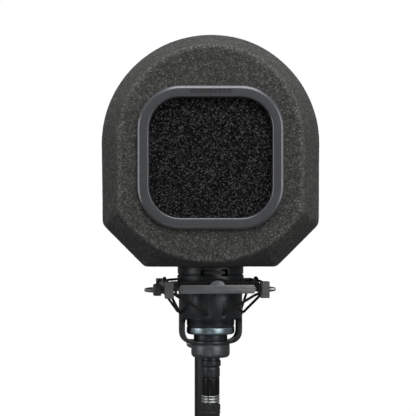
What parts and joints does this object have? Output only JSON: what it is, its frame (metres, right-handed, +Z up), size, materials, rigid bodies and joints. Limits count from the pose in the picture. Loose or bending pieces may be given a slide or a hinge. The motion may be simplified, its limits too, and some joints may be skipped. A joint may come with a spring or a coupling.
{
  "type": "microphone isolation shield",
  "caption": "Foam isolation shield with a pop filter, fitted over a studio microphone that hangs in an elastic shock mount on a tilting stand stem.",
  "frame": {"origin": "centre of the stand stem's lower end, where a stand screws in", "axes": "+Z up along the stem; the pop filter and the singer's side face -Y; +X is to the right seen from the singer's side"},
  "size_m": [0.2064, 0.1946, 0.3904],
  "materials": {
    "acoustic_foam": "open-cell charcoal foam with fine pale speckle, matt",
    "screen_foam": "coarse black open-cell foam",
    "bezel_plastic": "satin dark grey moulding with soft highlights",
    "black_plastic": "satin black",
    "satin_metal": "satin black powder coat over metal",
    "nickel": "polished nickel",
    "blued_trim": "polished, blue-grey tinted ring",
    "elastic": "black braided elastic cord",
    "brass": "turned, brushed",
    "felt": "black felt",
    "board": "green circuit board",
    "boot_rubber": "matt black moulded rubber",
    "grille_mesh": "dark woven wire",
    "gloss_black": "glossy black barrel"
  },
  "bodies": {
    "stand": {"stand_stem": "satin_metal", "thread_adapter": "brass"},
    "suspension_frame": {"swivel_bracket": "satin_metal", "bracket_screw_left": "nickel", "bracket_screw_right": "nickel", "swivel_bolt": "nickel", "swivel_dome_nut": "nickel", "ring_bar_front": "satin_metal", "ring_bar_right": "satin_metal", "ring_bar_rear": "satin_metal", "ring_bar_left": "satin_metal", "corner_block_front_left": "black_plastic", "corner_block_front_right": "black_plastic", "corner_block_rear_right": "black_plastic", "corner_block_rear_left": "black_plastic", "side_stud_left": "satin_metal", "side_stud_right": "satin_metal", "stud_tip_left": "nickel", "stud_tip_right": "nickel", "elastic_cord_front": "elastic", "elastic_cord_right": "elastic", "elastic_cord_rear": "elastic", "elastic_cord_left": "elastic"},
    "clamp_knob": {"swivel_clamp_knob": "black_plastic"},
    "basket": {"basket_cup": "satin_metal", "basket_felt_liner": "felt"},
    "collar": {"lock_collar": "satin_metal"},
    "microphone": {"mic_body_tube": "satin_metal", "mic_head_ring": "satin_metal", "mic_head_grille": "grille_mesh", "capsule_saddle": "black_plastic", "condenser_capsule": "brass", "circuit_board": "board", "mic_base_ring": "satin_metal", "mic_trim_ring": "blued_trim", "mic_threaded_neck": "satin_metal", "xlr_pin_insert": "brass"},
    "pad_switch": {"mic_pad_switch": "black_plastic"},
    "shield": {"foam_shield": "acoustic_foam"},
    "pop_filter": {"pop_filter_bezel": "bezel_plastic", "pop_filter_screen": "screen_foam", "pop_filter_mesh": "grille_mesh", "pop_filter_retaining_ring": "black_plastic"},
    "plug": {"xlr_shell": "satin_metal", "xlr_socket_insert": "black_plastic", "xlr_barrel": "gloss_black", "xlr_chuck_rings": "nickel", "xlr_boot": "boot_rubber"},
    "latch": {"xlr_latch_button": "black_plastic"}
  },
  "joints": [
    {"name": "mount_tilt", "type": "hinge", "parent": "stand", "child": "suspension_frame", "pos_m": [0, 0, 0.088], "axis": [0.9914, 0.1305, 0], "range_deg": [-60, 10]},
    {"name": "clamp_knob_turn", "type": "hinge", "parent": "suspension_frame", "child": "clamp_knob", "pos_m": [0, 0, 0.088], "axis": [0.9914, 0.1305, 0], "continuous": true},
    {"name": "suspension_bounce", "type": "slide", "parent": "suspension_frame", "child": "basket", "axis": [0, 0, 1], "range_m": [-0.006, 0.006], "stiffness_N_per_m": 2000, "springref_m": 0.0059, "deforming": ["elastic_cord_front", "elastic_cord_right", "elastic_cord_rear", "elastic_cord_left"]},
    {"name": "lock_collar_turn", "type": "hinge", "parent": "basket", "child": "collar", "pos_m": [0.00653, -0.04957, 0], "axis": [0, 0, 1], "continuous": true},
    {"name": "mic_lift", "type": "slide", "parent": "basket", "child": "microphone", "axis": [0, 0, 1], "range_m": [0, 0.06]},
    {"name": "pad_switch_slide", "type": "slide", "parent": "microphone", "child": "pad_switch", "axis": [0.9914, 0.1305, 0], "range_m": [0, 0.002]},
    {"name": "shield_swivel", "type": "hinge", "parent": "microphone", "child": "shield", "pos_m": [0.00653, -0.04957, 0], "axis": [0, 0, 1], "continuous": true},
    {"name": "pop_filter_pull", "type": "slide", "parent": "shield", "child": "pop_filter", "axis": [0, -1, 0], "range_m": [0, 0.06]},
    {"name": "xlr_unplug", "type": "slide", "parent": "microphone", "child": "plug", "axis": [0, 0, -1], "range_m": [0, 0.03]},
    {"name": "xlr_latch_press", "type": "slide", "parent": "plug", "child": "latch", "axis": [0.1305, -0.9914, 0], "range_m": [0, 0.0012], "stiffness_N_per_m": 400}
  ]
}
